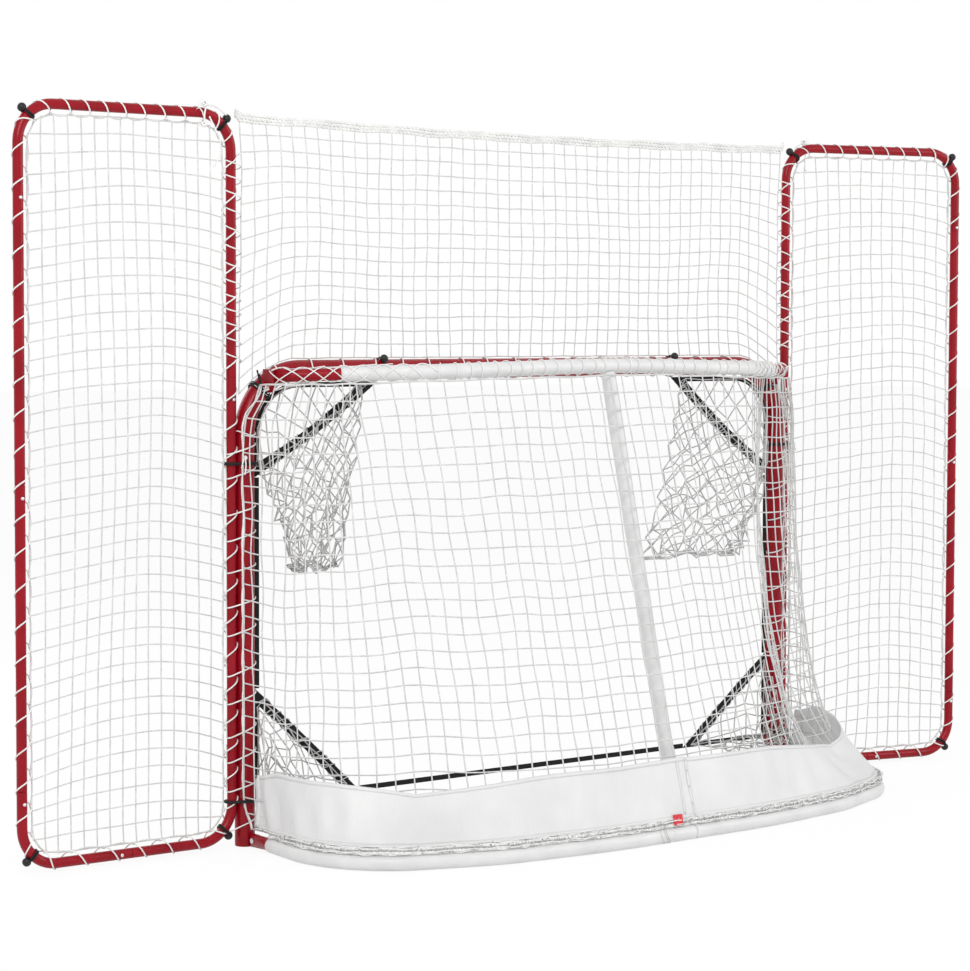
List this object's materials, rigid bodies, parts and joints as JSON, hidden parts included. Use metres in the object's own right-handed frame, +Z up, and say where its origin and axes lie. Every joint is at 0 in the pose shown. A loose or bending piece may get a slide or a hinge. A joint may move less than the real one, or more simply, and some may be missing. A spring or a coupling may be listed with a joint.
{
  "type": "ice hockey goal with backstop",
  "caption": "Ice hockey practice goal of red tube with white nets, a padded base rail, black corner targets with net pockets, and a tall backstop whose two netted wings swing on the posts.",
  "frame": {"origin": "middle of the bounding box at floor level, under the middle of the goal and a little behind its mouth", "axes": "+X along the mouth, towards the wing on the picture's left; +Y from the mouth towards the rear of the goal; +Z up"},
  "size_m": [3.1466, 0.6972, 1.8338],
  "materials": {
    "red_paint": "glossy powder coat on steel tube",
    "white_sleeve": "white padded vinyl sleeve",
    "white_vinyl": "white coated fabric sheet",
    "white_twine": "white knotted polyester twine",
    "grey_twine": "grey knotted twine",
    "black_webbing": "woven black webbing",
    "black_elastic": "black elastic cord with a moulded ball",
    "zinc": "zinc-plated steel"
  },
  "bodies": {
    "goal": {"post_left": "red_paint", "corner_left": "red_paint", "post_right": "red_paint", "corner_right": "red_paint", "crossbar": "red_paint", "base_arm_left": "red_paint", "base_arm_right": "red_paint", "base_sleeve_left": "white_sleeve", "base_sleeve_right": "white_sleeve", "base_bolt_left": "zinc", "base_bolt_right": "zinc", "shelf_rail": "red_paint", "shelf_sleeve": "white_sleeve", "centre_bar": "red_paint", "centre_sleeve": "white_sleeve", "ball_tie_crossbar_left": "black_elastic", "ball_tie_crossbar_right": "black_elastic", "post_tie_left_upper": "black_elastic", "post_tie_left_lower": "black_elastic", "post_tie_right_upper": "black_elastic", "post_tie_right_lower": "black_elastic", "backstop_net": "white_twine", "backstop_band": "white_twine", "side_net_left": "white_twine", "side_net_right": "white_twine", "back_net": "white_twine", "top_net": "white_twine", "skirt_left": "white_vinyl", "skirt_right": "white_vinyl", "target_upper_left": "black_webbing", "pocket_upper_left": "grey_twine", "target_upper_right": "black_webbing", "pocket_upper_right": "grey_twine", "target_lower_left": "black_webbing", "pocket_lower_left": "grey_twine", "target_lower_right": "black_webbing", "pocket_lower_right": "grey_twine", "side_strap_left": "black_webbing", "side_strap_right": "black_webbing", "bottom_strap": "black_webbing"},
    "wing_left": {"wing_left_foot_outer": "red_paint", "wing_left_upright_lower": "red_paint", "wing_left_upright_upper": "red_paint", "wing_left_top_bow": "red_paint", "wing_left_foot_inner": "red_paint", "wing_left_net": "white_twine", "ball_tie_left_foot_outer": "black_elastic", "ball_tie_left_top_outer": "black_elastic", "ball_tie_left_top_inner": "black_elastic", "ball_tie_left_foot_inner": "black_elastic"},
    "wing_right": {"wing_right_foot_outer": "red_paint", "wing_right_upright_lower": "red_paint", "wing_right_upright_upper": "red_paint", "wing_right_top_bow": "red_paint", "wing_right_foot_inner": "red_paint", "wing_right_net": "white_twine", "ball_tie_right_foot_outer": "black_elastic", "ball_tie_right_top_outer": "black_elastic", "ball_tie_right_top_inner": "black_elastic", "ball_tie_right_foot_inner": "black_elastic"}
  },
  "joints": [
    {"name": "wing_left_swing", "type": "hinge", "parent": "goal", "child": "wing_left", "pos_m": [0.96965, -0.31279, 0.9], "axis": [0, 0, 1], "range_deg": [-28.6, 61.4]},
    {"name": "wing_right_swing", "type": "hinge", "parent": "goal", "child": "wing_right", "pos_m": [-0.98735, -0.31279, 0.9], "axis": [0, 0, -1], "range_deg": [-44.4, 45.6]}
  ]
}
